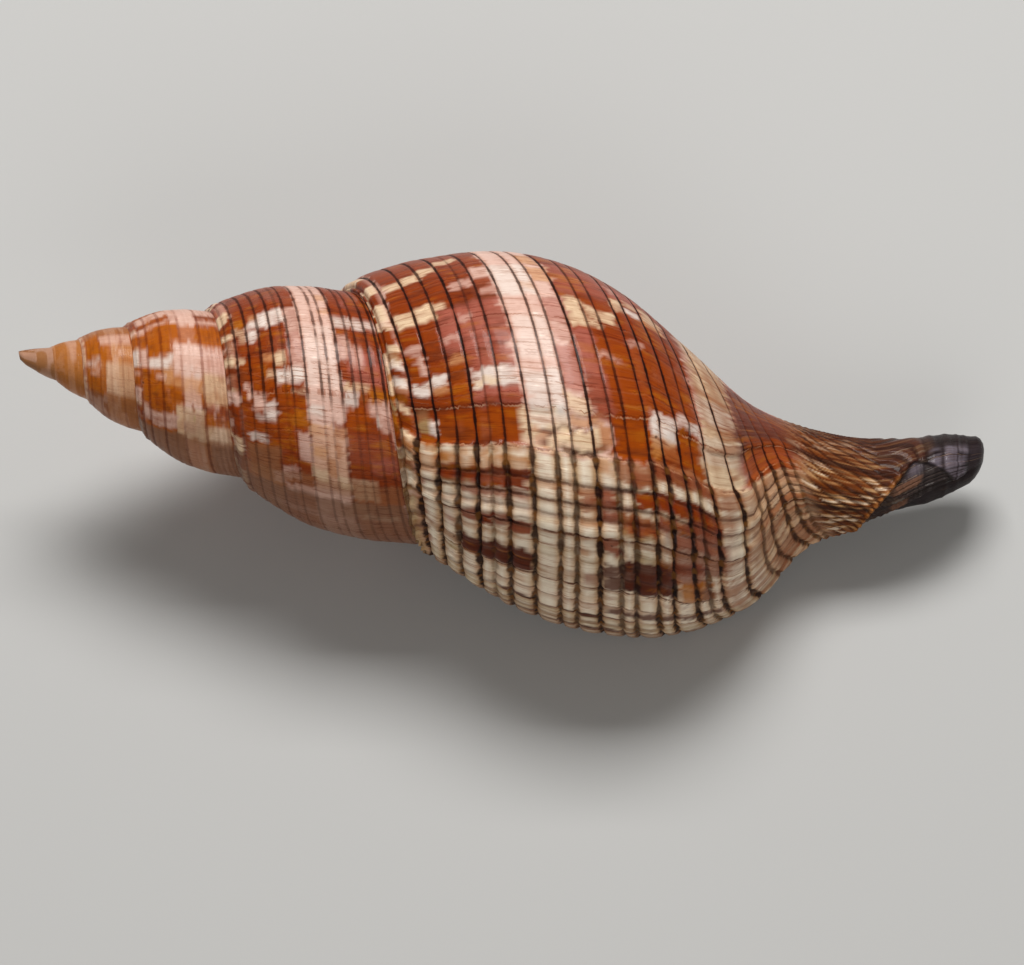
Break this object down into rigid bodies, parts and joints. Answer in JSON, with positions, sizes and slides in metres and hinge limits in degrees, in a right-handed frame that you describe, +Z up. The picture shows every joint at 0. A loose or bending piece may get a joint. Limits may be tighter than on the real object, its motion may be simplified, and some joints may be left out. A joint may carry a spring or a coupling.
{
  "type": "tulip shell",
  "caption": "Adult tulip shell with a tapering whorled spire, a swollen last whorl, an open mouth and a long half-open canal, lying on its mouth.",
  "frame": {"origin": "middle of the bounding box's underside, on the surface the shell lies on", "axes": "+X along the shell from the apex to the canal's tip, +Z up with the shell lying on its mouth, outer lip on the -Y side"},
  "size_m": [0.1492, 0.0554, 0.0476],
  "materials": {
    "shell_wall": "gloss"
  },
  "bodies": {
    "root": {"tulip_shell": "shell_wall"}
  },
  "joints": []
}
